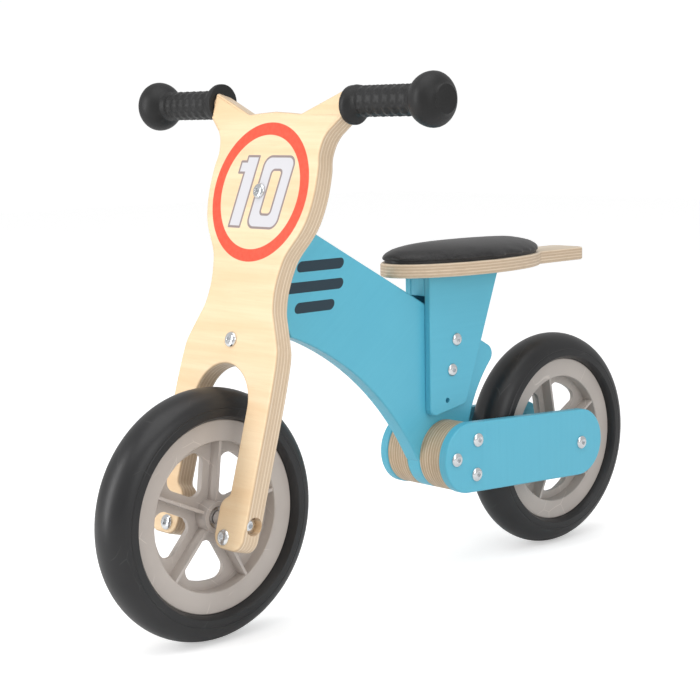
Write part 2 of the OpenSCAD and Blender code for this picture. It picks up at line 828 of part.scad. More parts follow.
main_frame();
seat_post_left();
seat_post_right();
seat_post_block();
seat_board();
seat_base();
seat_cushion();
seat_post_bolts();
seat_post_nuts();
seat_board_screws();
seat_base_screws();
swing_arm_left();
swing_arm_right();
drum_left();
drum_right();
arm_bolts();
arm_nuts();
rear_axle();
rear_axle_nut();
rear_spacers();
rear_sleeve();
nose_bush_upper();
nose_bush_lower();
fork_plate();
fork_block_upper();
fork_block_lower();
steering_pin();
steering_washers();
fork_bolts();
leg_bolts();
leg_nuts();
handle_studs();
handle_left();
handle_right();
grip_left();
grip_right();
front_axle();
front_axle_nut();
front_spacers();
front_sleeve();
front_tyre();
front_rim();
front_bearings();
rear_tyre();
rear_rim();
rear_bearings();
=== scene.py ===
import json
import math
import bmesh
import bpy
from mathutils import Matrix, Vector

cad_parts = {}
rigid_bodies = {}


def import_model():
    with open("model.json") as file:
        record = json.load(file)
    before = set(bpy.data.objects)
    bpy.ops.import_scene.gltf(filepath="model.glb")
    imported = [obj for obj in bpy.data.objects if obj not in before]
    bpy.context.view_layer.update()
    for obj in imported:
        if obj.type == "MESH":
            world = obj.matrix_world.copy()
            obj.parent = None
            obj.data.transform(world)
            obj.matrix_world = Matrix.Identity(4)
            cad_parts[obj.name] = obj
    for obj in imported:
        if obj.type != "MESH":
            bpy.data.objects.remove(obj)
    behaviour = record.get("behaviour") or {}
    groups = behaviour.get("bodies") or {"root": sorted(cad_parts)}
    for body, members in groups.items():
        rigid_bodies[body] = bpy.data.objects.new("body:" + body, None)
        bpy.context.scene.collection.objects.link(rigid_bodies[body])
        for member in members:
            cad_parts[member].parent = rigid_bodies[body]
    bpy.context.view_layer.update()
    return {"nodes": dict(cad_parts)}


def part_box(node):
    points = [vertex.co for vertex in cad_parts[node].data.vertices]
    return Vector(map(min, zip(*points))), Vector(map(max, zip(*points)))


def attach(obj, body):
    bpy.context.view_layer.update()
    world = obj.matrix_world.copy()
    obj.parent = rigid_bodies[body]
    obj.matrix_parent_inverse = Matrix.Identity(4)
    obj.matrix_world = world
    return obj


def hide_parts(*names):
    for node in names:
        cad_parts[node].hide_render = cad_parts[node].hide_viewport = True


bpy.ops.object.select_all(action="SELECT")
bpy.ops.object.delete()
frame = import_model()
bpy.ops.object.select_all(action="DESELECT")


# ---- Camera -----------------------------------------------------------------------------------
# Stands ahead and to the bike's left, a little above saddle height, looking back at the
# fork plate. Long lens, no shift, everything in focus.
camera_data = bpy.data.cameras.new("camera")
camera_data.lens = 83.504
camera_data.sensor_width = 36
camera_data.clip_start = 0.05
camera_data.clip_end = 50
camera = bpy.data.objects.new("camera", camera_data)
bpy.context.scene.collection.objects.link(camera)
camera.matrix_world = Matrix((
    (-0.72317263, -0.10970092, 0.68189959, 1.23942993),
    (0.69046219, -0.09076885, 0.71765102, 1.23723191),
    (-0.01683174, 0.98981146, 0.14138589, 0.51303490),
    (0, 0, 0, 1)))
bpy.context.scene.camera = camera
bpy.context.scene.view_settings.view_transform = "Standard"


# ---- Frame board ------------------------------------------------------------------------------
# The spine of the bike: one birch plywood board, sawn to shape on a router, its edges rounded
# over, then sprayed sky blue. The thin paint lets the plies show as faint lines on the edge.
# Three dark bars are printed on each side behind the fork.
def only(piece):
    """Selects this piece alone and makes it active."""
    bpy.ops.object.select_all(action="DESELECT")
    piece.select_set(True)
    bpy.context.view_layer.objects.active = piece


def copy_nodes(name, *nodes, whole=True):
    """One closed mesh with the solids of these nodes, its flat faces made whole again."""
    bpy.ops.object.select_all(action="DESELECT")
    made = []
    for node in nodes:
        made.append(bpy.data.objects.new(name, frame["nodes"][node].data.copy()))
        bpy.context.scene.collection.objects.link(made[-1])
        made[-1].select_set(True)
    piece = made[0]
    bpy.context.view_layer.objects.active = piece
    if len(made) > 1:
        bpy.ops.object.join()
    piece.name = name
    piece.data.name = name
    piece.data.materials.clear()
    bpy.ops.mesh.customdata_custom_splitnormals_clear()
    bpy.ops.object.mode_set(mode="EDIT")
    bpy.context.tool_settings.mesh_select_mode = (True, False, False)
    bpy.ops.mesh.select_all(action="SELECT")
    bpy.ops.mesh.remove_doubles(threshold=1e-5)
    bpy.ops.mesh.normals_make_consistent(inside=False)
    if whole:
        bpy.ops.mesh.dissolve_limited(angle_limit=math.radians(0.4))
    bpy.ops.object.mode_set(mode="OBJECT")
    return piece


def runs_of(edges):
    """The edges sorted into joined-up runs, each with its longest side."""
    left, runs = set(edges), []
    while left:
        run, queue = [], [left.pop()]
        while queue:
            edge = queue.pop()
            run.append(edge)
            for corner in edge.verts:
                for near in corner.link_edges:
                    if near in left:
                        left.discard(near)
                        queue.append(near)
        points = [corner.co for edge in run for corner in edge.verts]
        size = max(max(p[i] for p in points) - min(p[i] for p in points) for i in range(3))
        runs.append((size, run))
    return runs


def round_edges(piece, radius, segments=3, over=35, flat=None, small=None, small_size=0.02):
    """Rounds the outward edges sharper than over degrees. With flat, only the edges of faces
    that look along it. Closed runs of edges no bigger than small_size get the radius small."""
    only(piece)
    bpy.ops.object.mode_set(mode="EDIT")
    bpy.context.tool_settings.mesh_select_mode = (False, True, False)
    for width, wants_small in ((radius, False), (small, True)):
        if width is None:
            continue
        bpy.ops.mesh.select_all(action="DESELECT")
        mesh = bmesh.from_edit_mesh(piece.data)
        found = []
        for edge in mesh.edges:
            if len(edge.link_faces) != 2 or not edge.is_convex:
                continue
            if edge.calc_face_angle(0) < math.radians(over):
                continue
            if flat and max(abs(f.normal.dot(flat)) for f in edge.link_faces) < 0.98:
                continue
            found.append(edge)
        for size, run in runs_of(found):
            if small is None or (size < small_size) == wants_small:
                for edge in run:
                    edge.select_set(True)
        bmesh.update_edit_mesh(piece.data)
        bpy.ops.mesh.bevel(offset_type="OFFSET", offset=width, segments=segments,
                           affect="EDGES", clamp_overlap=False)
    bpy.ops.object.mode_set(mode="OBJECT")


def split_faces(board, cuts):
    """Cuts the board's big faces into plain patches at each plane's point and normal."""
    only(board)
    bpy.ops.object.mode_set(mode="EDIT")
    bpy.context.tool_settings.mesh_select_mode = (True, False, False)
    for place, normal in cuts:
        bpy.ops.mesh.select_all(action="SELECT")
        bpy.ops.mesh.bisect(plane_co=place, plane_no=normal)
    bpy.ops.object.mode_set(mode="OBJECT")


def sawn_board(name, node, axis, radius, segments=4, cuts=()):
    """A board sawn to the node's outline, both its edges rounded over, then drilled and cut
    out as the node is."""
    axis = Vector(axis)
    board = copy_nodes(name, node, whole=False)
    only(board)
    bpy.ops.object.mode_set(mode="EDIT")
    bpy.context.tool_settings.mesh_select_mode = (False, False, True)
    bpy.ops.mesh.select_all(action="DESELECT")
    mesh = bmesh.from_edit_mesh(board.data)
    depths = [corner.co.dot(axis) for corner in mesh.verts]
    for face in mesh.faces:
        if face.normal.dot(axis) > 0.999 and face.verts[0].co.dot(axis) > max(depths) - 1e-5:
            face.select_set(True)
    bmesh.update_edit_mesh(board.data)
    bpy.ops.mesh.region_to_loop()
    bpy.context.tool_settings.mesh_select_mode = (False, True, False)
    mesh = bmesh.from_edit_mesh(board.data)
    outline = set(max(runs_of([e for e in mesh.edges if e.select]), key=lambda r: r[0])[1])
    for edge in mesh.edges:
        edge.select_set(edge not in outline)
    bmesh.update_edit_mesh(board.data)
    bpy.ops.mesh.delete(type="EDGE")
    bpy.ops.mesh.delete_loose(use_verts=True, use_edges=False, use_faces=False)
    bpy.ops.mesh.select_all(action="SELECT")
    bpy.ops.mesh.edge_face_add()
    bpy.ops.mesh.select_all(action="SELECT")
    through = -axis * (max(depths) - min(depths))
    bpy.ops.mesh.extrude_region_move(TRANSFORM_OT_translate={"value": through})
    bpy.ops.mesh.select_all(action="SELECT")
    bpy.ops.mesh.normals_make_consistent(inside=False)
    bpy.ops.object.mode_set(mode="OBJECT")
    if cuts:
        split_faces(board, cuts)
    round_edges(board, radius, segments, flat=axis)
    cut = copy_nodes(name + "_cut", node, whole=False)
    for vertex in cut.data.vertices:
        vertex.co += vertex.normal * 2e-5
    only(board)
    drill = board.modifiers.new("drilled", "BOOLEAN")
    drill.operation = "INTERSECT"
    drill.solver = "EXACT"
    drill.object = cut
    bpy.ops.object.modifier_apply(modifier=drill.name)
    bpy.data.objects.remove(cut)
    smooth(board)
    return board


def smooth(piece, angle=38):
    """Smooth shading that keeps flat faces flat and edges over the angle crisp."""
    only(piece)
    bpy.ops.object.shade_smooth_by_angle(angle=math.radians(angle))
    weighted = piece.modifiers.new("even shading", "WEIGHTED_NORMAL")
    weighted.keep_sharp = True
    weighted.weight = 60
    bpy.ops.object.modifier_apply(modifier=weighted.name)


def finish_piece(piece, body, slot, material, *nodes):
    """Material and body, and the nodes that the piece stands for, which are hidden. The slot
    argument is not used.
    """
    piece.data.materials.clear()
    piece.data.materials.append(material)
    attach(piece, body)
    if nodes:
        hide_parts(*nodes)


def node(tree, kind, inputs=None, **settings):
    """A shader node with its inputs set or linked."""
    made = tree.nodes.new("ShaderNode" + kind)
    for key, value in settings.items():
        setattr(made, key, value)
    for key, value in (inputs or {}).items():
        if isinstance(value, bpy.types.NodeSocket):
            tree.links.new(value, made.inputs[key])
        else:
            made.inputs[key].default_value = value
    return made


def calc(tree, how, a, b=0.0, c=0.0):
    """The result of one Math node."""
    made = node(tree, "Math", operation=how)
    for socket, value in zip(made.inputs, (a, b, c)):
        if isinstance(value, bpy.types.NodeSocket):
            tree.links.new(value, socket)
        else:
            socket.default_value = value
    return made.outputs[0]


def ramp(tree, value, low, high, to_low=0.0, to_high=1.0):
    """A smooth step from low to high."""
    made = node(tree, "MapRange", interpolation_type="SMOOTHSTEP")
    tree.links.new(value, made.inputs["Value"])
    for key, number in (("From Min", low), ("From Max", high),
                        ("To Min", to_low), ("To Max", to_high)):
        made.inputs[key].default_value = number
    return made.outputs["Result"]


def blend_colour(tree, amount, a, b, how="MIX"):
    """Colour a, with colour b laid over it by the amount."""
    made = node(tree, "Mix", data_type="RGBA", blend_type=how)
    for index, value in ((0, amount), (6, a), (7, b)):
        if isinstance(value, bpy.types.NodeSocket):
            tree.links.new(value, made.inputs[index])
        elif isinstance(value, tuple):
            made.inputs[index].default_value = (*value, 1.0)
        else:
            made.inputs[index].default_value = value
    return made.outputs[2]


def along(tree, point, axis, origin=(0.0, 0.0, 0.0)):
    """How far the point lies from the origin along the axis."""
    offset = node(tree, "VectorMath", {0: point, 1: origin}, operation="SUBTRACT").outputs[0]
    return node(tree, "VectorMath", {0: offset, 1: axis}, operation="DOT_PRODUCT").outputs["Value"]


def new_group(name, inputs, outputs):
    """A node group with number sockets; returns it with its input and output nodes."""
    group = bpy.data.node_groups.new(name, "ShaderNodeTree")
    for key, value in inputs:
        socket = group.interface.new_socket(key, in_out="INPUT", socket_type="NodeSocketFloat")
        socket.default_value = value
    for key in outputs:
        group.interface.new_socket(key, in_out="OUTPUT", socket_type="NodeSocketFloat")
    return group, group.nodes.new("NodeGroupInput"), group.nodes.new("NodeGroupOutput")


def use_group(tree, group, **inputs):
    """The group placed in a material, its sockets set or linked."""
    made = tree.nodes.new("ShaderNodeGroup")
    made.node_tree = group
    for key, value in inputs.items():
        socket = made.inputs[key.replace("_", " ").capitalize()]
        if isinstance(value, bpy.types.NodeSocket):
            tree.links.new(value, socket)
        else:
            socket.default_value = value
    return made.outputs


def new_material(name, roughness, metallic=0.0, coat=0.0, coat_roughness=0.1):
    """A material with one Principled shader; returns it, its tree and the shader."""
    made = bpy.data.materials.new(name)
    made.use_nodes = True
    made.node_tree.nodes.clear()
    shader = node(made.node_tree, "BsdfPrincipled")
    shader.inputs["Roughness"].default_value = roughness
    shader.inputs["Metallic"].default_value = metallic
    shader.inputs["Coat Weight"].default_value = coat
    shader.inputs["Coat Roughness"].default_value = coat_roughness
    out = node(made.node_tree, "OutputMaterial")
    made.node_tree.links.new(shader.outputs[0], out.inputs[0])
    return made, made.node_tree, shader


def bump(tree, shader, height, distance, strength=1.0):
    """Fine relief on the shader's normal."""
    made = node(tree, "Bump", {"Height": height, "Distance": distance, "Strength": strength})
    tree.links.new(made.outputs[0], shader.inputs["Normal"])


# Layers of veneer: Tone tells one ply from the next, Line is the thin glue line between two,
# Grain is the long streaks of each ply, turned a quarter from one to the next, Pores are fine.
plies, given, made = new_group(
    "plywood layers",
    [("Depth", 0.0), ("Along", 0.0), ("Across", 0.0), ("Ply", 0.0016)],
    ["Tone", "Line", "Grain", "Pores", "Figure"])
layer = calc(plies, "DIVIDE", given.outputs["Depth"], given.outputs["Ply"])
layer = calc(plies, "ADD", layer, 100.5)
number = calc(plies, "FLOOR", layer)
inside = calc(plies, "ABSOLUTE", calc(plies, "SUBTRACT", calc(plies, "FRACT", layer), 0.5))
plies.links.new(ramp(plies, inside, 0.40, 0.48), made.inputs["Line"])
odd = calc(plies, "MODULO", number, 2.0)
chance = node(plies, "TexWhiteNoise", {"W": number}, noise_dimensions="1D").outputs["Value"]
plies.links.new(calc(plies, "ADD", calc(plies, "MULTIPLY", odd, 0.65),
                     calc(plies, "MULTIPLY", chance, 0.35)), made.inputs["Tone"])
turned = calc(plies, "SUBTRACT", 1.0, odd)
length = calc(plies, "ADD", calc(plies, "MULTIPLY", given.outputs["Along"], turned),
              calc(plies, "MULTIPLY", given.outputs["Across"], odd))
width = calc(plies, "ADD", calc(plies, "MULTIPLY", given.outputs["Across"], turned),
             calc(plies, "MULTIPLY", given.outputs["Along"], odd))
shift = calc(plies, "MULTIPLY", number, 3.7)
for key, stretch, fine, detail in (("Grain", 9.0, 210.0, 4.0), ("Pores", 60.0, 1500.0, 2.0),
                                   ("Figure", 3.5, 34.0, 3.0)):
    spot = node(plies, "CombineXYZ", {
        "X": calc(plies, "MULTIPLY", length, stretch),
        "Y": calc(plies, "MULTIPLY", width, fine),
        "Z": calc(plies, "ADD", calc(plies, "MULTIPLY", given.outputs["Depth"], fine), shift),
    }).outputs[0]
    streak = node(plies, "TexNoise", {"Vector": spot, "Scale": 1.0, "Detail": detail,
                                      "Roughness": 0.6, "Distortion": 0.4})
    plies.links.new(streak.outputs[0], made.inputs[key])

# Handling marks: Mottle is broad and soft, Specks are small, Scuffs are thin stray scratches.
marks, given, made = new_group(
    "handling marks", [("Size", 1.0), ("Seed", 0.0)], ["Mottle", "Specks", "Scuffs"])
spot = node(marks, "TexCoord").outputs["Object"]
for key, scale, detail, low, high in (("Mottle", 14.0, 3.0, 0.3, 0.7),
                                      ("Specks", 420.0, 2.0, 0.62, 0.74)):
    field = node(marks, "TexNoise", {
        "Vector": spot, "W": given.outputs["Seed"], "Detail": detail,
        "Scale": calc(marks, "MULTIPLY", given.outputs["Size"], scale),
    }, noise_dimensions="4D")
    marks.links.new(ramp(marks, field.outputs[0], low, high), made.inputs[key])
bent = node(marks, "TexNoise", {"Vector": spot, "Scale": 9.0, "Detail": 2.0})
bent = node(marks, "VectorMath", {0: bent.outputs[1], 1: (0.05, 0.05, 0.05)},
            operation="MULTIPLY").outputs[0]
bent = node(marks, "VectorMath", {0: spot, 1: bent}, operation="ADD").outputs[0]
cracks = node(marks, "TexVoronoi", {
    "Vector": bent, "Scale": calc(marks, "MULTIPLY", given.outputs["Size"], 24.0)},
    feature="DISTANCE_TO_EDGE")
thin = ramp(marks, cracks.outputs["Distance"], 0.004, 0.012, 1.0, 0.0)
where = node(marks, "TexNoise", {"Vector": spot, "Scale": 31.0, "Detail": 1.0})
marks.links.new(calc(marks, "MULTIPLY", thin, ramp(marks, where.outputs[0], 0.52, 0.62)),
                made.inputs["Scuffs"])


def painted_board(name, centre_y, bars=False, streak=(0.0, 0.0, 1.0), across=(1.0, 0.0, 0.0)):
    """Sky blue paint on plywood whose plies lie along y."""
    material, tree, shader = new_material(name, 0.36, coat=0.12, coat_roughness=0.22)
    spot = node(tree, "TexCoord")
    point = spot.outputs["Object"]
    wood = use_group(tree, plies, depth=along(tree, point, (0.0, 1.0, 0.0), (0.0, centre_y, 0.0)),
                     along=along(tree, point, streak), across=along(tree, point, across),
                     ply=0.0017)
    worn = use_group(tree, marks, size=1.0, seed=2.0)
    facing = calc(tree, "ABSOLUTE", along(tree, spot.outputs["Normal"], (0.0, 1.0, 0.0)))
    edge = ramp(tree, facing, 0.55, 0.95, 1.0, 0.0)
    colour = blend_colour(tree, wood["Grain"], (0.098, 0.470, 0.640), (0.118, 0.520, 0.690))
    colour = blend_colour(tree, calc(tree, "MULTIPLY", worn["Mottle"], 0.22), colour,
                          (0.135, 0.545, 0.700))
    lines = calc(tree, "MULTIPLY", calc(tree, "ADD", calc(tree, "MULTIPLY", wood["Line"], 0.30),
                                        calc(tree, "MULTIPLY", wood["Tone"], 0.12)), edge)
    colour = blend_colour(tree, lines, colour, (0.035, 0.265, 0.370))
    if bars:
        colour = blend_colour(tree, bars_mask(tree, point, facing), colour,
                              (0.006, 0.030, 0.050))
    tree.links.new(colour, shader.inputs["Base Color"])
    rough = calc(tree, "MULTIPLY_ADD", wood["Grain"], 0.10, 0.30)
    rough = calc(tree, "MULTIPLY_ADD", worn["Scuffs"], 0.14, rough)
    tree.links.new(rough, shader.inputs["Roughness"])
    relief = calc(tree, "MULTIPLY_ADD", wood["Pores"], 0.25, wood["Grain"])
    relief = calc(tree, "MULTIPLY_ADD", calc(tree, "MULTIPLY", wood["Line"], edge), -1.2, relief)
    bump(tree, shader, relief, 0.00012, 0.5)
    return material


def bars_mask(tree, point, facing):
    """Three plain slanted bars with round ends, on the two flat sides."""
    px = along(tree, point, (-1.0, 0.0, 0.0), (0.121, 0.0, 0.343))
    pz = along(tree, point, (0.0, 0.0, 1.0), (0.121, 0.0, 0.343))
    lean = calc(tree, "MULTIPLY_ADD", pz, -0.25, px)
    found = None
    for up, start, half in ((0.021, 0.003, 0.027), (0.0, 0.0, 0.034), (-0.021, 0.004, 0.022)):
        out = calc(tree, "MAXIMUM", calc(tree, "SUBTRACT", calc(
            tree, "ABSOLUTE", calc(tree, "SUBTRACT", lean, start)), half), 0.0)
        rise = calc(tree, "SUBTRACT", pz, up)
        far = calc(tree, "SQRT", calc(tree, "ADD", calc(tree, "POWER", out, 2.0),
                                      calc(tree, "POWER", calc(tree, "ABSOLUTE", rise), 2.0)))
        bar = ramp(tree, far, 0.0054, 0.0058, 1.0, 0.0)
        found = bar if found is None else calc(tree, "MAXIMUM", found, bar)
    return calc(tree, "MULTIPLY", found, ramp(tree, facing, 0.9, 0.97))


frame_board = sawn_board("frame_board", "main_frame", (0, 1, 0), 0.0022)
finish_piece(frame_board, "frame", "blue_paint",
             painted_board("blue paint, frame", 0.0, bars=True,
                           streak=(0.80, 0.0, -0.60), across=(0.60, 0.0, 0.80)), "main_frame")


# ---- Seat post --------------------------------------------------------------------------------
# Two thin plywood plates, one on each side of the frame board, sprayed with it, and a filler
# block between their tops. The plates carry the seat board.
post_paint = painted_board("blue paint, seat post", 0.0145)
for side, plate in (("left", "seat_post_left"), ("right", "seat_post_right")):
    post = sawn_board("post_plate_" + side, plate, (0, 1, 0), 0.0018)
    finish_piece(post, "frame", "blue_paint", post_paint, plate)
block = copy_nodes("post_block", "seat_post_block")
round_edges(block, 0.0012, 3)
smooth(block)
finish_piece(block, "frame", "blue_paint", post_paint, "seat_post_block")


# ---- Post bolts and nuts ----------------------------------------------------------------------
# Zinc-plated furniture bolts with a low dome head and a hexagon socket, two through the post
# and the frame board, each screwed into a sleeve nut on the far side.
def hardware(name, body, material, slot, *nodes, edge=0.00025):
    """Turned and plated metal parts with a fine broken edge."""
    piece = copy_nodes(name, *nodes)
    round_edges(piece, edge, 2, over=45)
    smooth(piece, 42)
    finish_piece(piece, body, slot, material, *nodes)
    return piece


zinc, tree, shader = new_material("bright zinc", 0.16, metallic=1.0)
worn = use_group(tree, marks, size=4.0, seed=7.0)
tree.links.new(blend_colour(tree, worn["Mottle"], (0.70, 0.72, 0.74), (0.84, 0.85, 0.86)),
               shader.inputs["Base Color"])
rough = calc(tree, "MULTIPLY_ADD", worn["Mottle"], 0.10, 0.12)
tree.links.new(calc(tree, "MULTIPLY_ADD", worn["Scuffs"], 0.2, rough), shader.inputs["Roughness"])
bump(tree, shader, worn["Specks"], 0.00003, 0.4)
hardware("post_bolts", "frame", zinc, "bright_steel", "seat_post_bolts")
hardware("post_nuts", "frame", zinc, "bright_steel", "seat_post_nuts")


# ---- Seat board -------------------------------------------------------------------------------
# A long plywood board under the saddle, sawn with a narrower tail that sticks out behind, its
# edges rounded over and clear varnished. Three countersunk screws hold it to the seat post.
def bare_plywood(name, depth_axis, depth_origin, grain_axis, cross_axis, ply, face, dark,
                 edge_light, edge_dark, coat=0.10):
    """Clear varnished plywood: warm long-grain faces and pale and tan plies on the edges.
    Returns the material, its tree, the shader, the point, the facing mask and the colour."""
    material, tree, shader = new_material(name, 0.42, coat=coat, coat_roughness=0.25)
    spot = node(tree, "TexCoord")
    point = spot.outputs["Object"]
    wood = use_group(tree, plies, depth=along(tree, point, depth_axis, depth_origin),
                     along=along(tree, point, grain_axis), across=along(tree, point, cross_axis),
                     ply=ply)
    worn = use_group(tree, marks, size=1.0, seed=5.0)
    facing = calc(tree, "ABSOLUTE", along(tree, spot.outputs["Normal"], depth_axis))
    flat = ramp(tree, facing, 0.60, 0.96)
    streaks = ramp(tree, wood["Grain"], 0.34, 0.72)
    figure = ramp(tree, wood["Figure"], 0.36, 0.70)
    top = blend_colour(tree, calc(tree, "MULTIPLY", figure, 0.75), face, dark)
    top = blend_colour(tree, calc(tree, "MULTIPLY", streaks, 0.45), top, dark)
    top = blend_colour(tree, calc(tree, "MULTIPLY", ramp(tree, wood["Pores"], 0.60, 0.80), 0.30),
                       top, tuple(0.72 * c for c in dark))
    side = blend_colour(tree, wood["Tone"], edge_light, edge_dark)
    side = blend_colour(tree, calc(tree, "MULTIPLY", streaks, 0.35), side, edge_dark)
    side = blend_colour(tree, calc(tree, "MULTIPLY", wood["Line"], 0.55), side,
                        tuple(0.52 * c for c in edge_dark))
    colour = blend_colour(tree, flat, side, top)
    colour = blend_colour(tree, calc(tree, "MULTIPLY", worn["Specks"], 0.10), colour,
                          tuple(0.5 * c for c in dark))
    rough = calc(tree, "MULTIPLY_ADD", wood["Grain"], 0.16, 0.36)
    rough = calc(tree, "MULTIPLY_ADD", worn["Scuffs"], 0.12, rough)
    tree.links.new(rough, shader.inputs["Roughness"])
    relief = calc(tree, "MULTIPLY_ADD", wood["Pores"], 0.4, wood["Grain"])
    relief = calc(tree, "MULTIPLY_ADD", calc(
        tree, "MULTIPLY", wood["Line"], calc(tree, "SUBTRACT", 1.0, flat)), -1.0, relief)
    bump(tree, shader, relief, 0.00010, 0.6)
    tree.links.new(colour, shader.inputs["Base Color"])
    return material, tree, shader, point, facing, colour


seat_wood = bare_plywood("plywood, seat board", (0.0, 0.0, 1.0), (0.0, 0.0, 0.3485),
                         (1.0, 0.0, 0.0), (0.0, 1.0, 0.0), 0.00167,
                         (0.74, 0.63, 0.49), (0.60, 0.48, 0.34),
                         (0.80, 0.66, 0.50), (0.50, 0.35, 0.22))[0]
seat_board = sawn_board("seat_board_plywood", "seat_board", (0, 0, 1), 0.0024)
finish_piece(seat_board, "frame", "plywood", seat_wood, "seat_board")
hardware("seat_screws", "frame", zinc, "bright_steel", "seat_board_screws", edge=0.0001)


# ---- Saddle -----------------------------------------------------------------------------------
# A thin moulded base screwed up through the seat board, with a foam pad on it under black
# leatherette. The cover is pulled down over the foam and tucked in under the base's rim.
def moulded(name, colour, light, roughness, grain_size=1.0, relief=0.00005, coat=0.0):
    """Moulded plastic or rubber: a fine even texture with a slight change of tone."""
    material, tree, shader = new_material(name, roughness, coat=coat, coat_roughness=0.3)
    worn = use_group(tree, marks, size=grain_size, seed=3.0)
    mixed = blend_colour(tree, worn["Mottle"], colour, light)
    mixed = blend_colour(tree, calc(tree, "MULTIPLY", worn["Scuffs"], 0.4), mixed,
                         tuple(min(1.0, 1.5 * c + 0.01) for c in light))
    tree.links.new(mixed, shader.inputs["Base Color"])
    rough = calc(tree, "MULTIPLY_ADD", worn["Mottle"], 0.08, roughness - 0.04)
    tree.links.new(calc(tree, "MULTIPLY_ADD", worn["Scuffs"], 0.15, rough),
                   shader.inputs["Roughness"])
    texture = node(tree, "TexNoise", {"Vector": node(tree, "TexCoord").outputs["Object"],
                                      "Scale": 900.0 * grain_size, "Detail": 2.0})
    bump(tree, shader, texture.outputs[0], relief, 0.5)
    return material


base_plastic = moulded("black plastic", (0.012, 0.012, 0.013), (0.020, 0.020, 0.021), 0.45)
hardware("saddle_base", "frame", base_plastic, "black_plastic", "seat_base", edge=0.0005)
hardware("saddle_screws", "frame", zinc, "bright_steel", "seat_base_screws", edge=0.0001)

leatherette, tree, shader = new_material("black leatherette", 0.42)
shader.inputs["Specular IOR Level"].default_value = 0.38
shader.inputs["Sheen Weight"].default_value = 0.08
shader.inputs["Sheen Roughness"].default_value = 0.4
point = node(tree, "TexCoord").outputs["Object"]
worn = use_group(tree, marks, size=1.0, seed=11.0)
pebbles = node(tree, "TexVoronoi", {"Vector": point, "Scale": 900.0},
               feature="SMOOTH_F1").outputs["Distance"]
creases = node(tree, "TexNoise", {"Vector": point, "Scale": 260.0, "Detail": 4.0}).outputs[0]
hide = calc(tree, "MULTIPLY_ADD", creases, 0.7, pebbles)
colour = blend_colour(tree, worn["Mottle"], (0.022, 0.021, 0.022), (0.032, 0.031, 0.032))
# Painted shade: the colour goes darker, towards near black, where the grain's relief is lowest, in
# the hollows of the pebbles and creases.
colour = blend_colour(tree, ramp(tree, hide, 0.9, 0.5), colour, (0.010, 0.010, 0.010))
tree.links.new(colour, shader.inputs["Base Color"])
tree.links.new(calc(tree, "MULTIPLY_ADD", hide, 0.14, 0.34), shader.inputs["Roughness"])
bump(tree, shader, hide, 0.00015, 0.45)

saddle_low, saddle_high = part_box("seat_cushion")
saddle_floor = saddle_low.z + 0.0002
puff = 0.006
saddle = copy_nodes("saddle_pad", "seat_cushion")
saddle_mid = (saddle_low + saddle_high) / 2
only(saddle)
bpy.ops.object.mode_set(mode="EDIT")
bpy.ops.mesh.select_all(action="SELECT")
bpy.ops.transform.translate(value=(-saddle_mid.x, -saddle_mid.y, -saddle_floor))
bpy.ops.transform.resize(value=(0.975, 0.95, 0.90), center_override=(0, 0, 0))
bpy.ops.transform.translate(value=(saddle_mid.x, saddle_mid.y, saddle_floor))
bpy.ops.object.mode_set(mode="OBJECT")
remesh = saddle.modifiers.new("even mesh", "REMESH")
remesh.mode = "VOXEL"
remesh.voxel_size = 0.005
bpy.ops.object.modifier_apply(modifier=remesh.name)
held = saddle.vertex_groups.new(name="tucked edge")
held.add([v.index for v in saddle.data.vertices if v.co.z < saddle_floor + 0.003], 1.0,
         "REPLACE")
start = [v.co.copy() for v in saddle.data.vertices]
cloth = saddle.modifiers.new("cover", "CLOTH")
cloth.settings.quality = 6
cloth.settings.mass = 0.25
cloth.settings.tension_stiffness = 12
cloth.settings.compression_stiffness = 12
cloth.settings.bending_stiffness = 0.4
cloth.settings.use_pressure = True
cloth.settings.uniform_pressure_force = 4
cloth.settings.vertex_group_mass = held.name
cloth.settings.effector_weights.gravity = 0
for step in range(1, 21):
    bpy.context.scene.frame_set(step)
only(saddle)
bpy.ops.object.modifier_apply(modifier=cloth.name)
bpy.context.scene.frame_set(1)
for vertex, old in zip(saddle.data.vertices, start):
    moved = vertex.co - old
    if moved.length > puff:
        vertex.co = old + moved.normalized() * puff
saddle.vertex_groups.clear()
for vertex in saddle.data.vertices:
    vertex.co.z = max(vertex.co.z, saddle_floor)
soften = saddle.modifiers.new("soften", "SMOOTH")
soften.factor = 0.5
soften.iterations = 6
only(saddle)
bpy.ops.object.modifier_apply(modifier=soften.name)
finer = saddle.modifiers.new("finer", "SUBSURF")
finer.levels = 1
finer.render_levels = 1
bpy.ops.object.modifier_apply(modifier=finer.name)
bpy.ops.object.shade_smooth()
finish_piece(saddle, "frame", "leatherette", leatherette, "seat_cushion")


# ---- Drums ------------------------------------------------------------------------------------
# Round plywood spacers, one on each side of the frame board, sanded and clear varnished. They
# set the swing arms out from the board to clear the rear tyre.
drum_low, drum_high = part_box("drum_left")
drum_wood = bare_plywood("plywood, drums", (0.0, 1.0, 0.0), (0.0, 0.0002, 0.0),
                         (0.8, 0.0, 0.6), (-0.6, 0.0, 0.8), 0.00184,
                         (0.74, 0.60, 0.43), (0.60, 0.45, 0.29),
                         (0.66, 0.53, 0.38), (0.42, 0.29, 0.17))[0]
for side in ("left", "right"):
    drum = sawn_board("drum_" + side + "_plywood", "drum_" + side, (0, 1, 0), 0.0009, 3)
    finish_piece(drum, "frame", "plywood", drum_wood, "drum_" + side)


# ---- Swing arms -------------------------------------------------------------------------------
# Two plywood arms with round ends, sprayed sky blue, on the outside of the drums. They reach
# back on both sides of the rear wheel and carry its axle.
arm_paint = painted_board("blue paint, swing arms", 0.0451, streak=(1.0, 0.0, 0.0),
                          across=(0.0, 0.0, 1.0))
for side in ("left", "right"):
    arm = sawn_board("arm_" + side, "swing_arm_" + side, (0, 1, 0), 0.0022)
    finish_piece(arm, "frame", "blue_paint", arm_paint, "swing_arm_" + side)


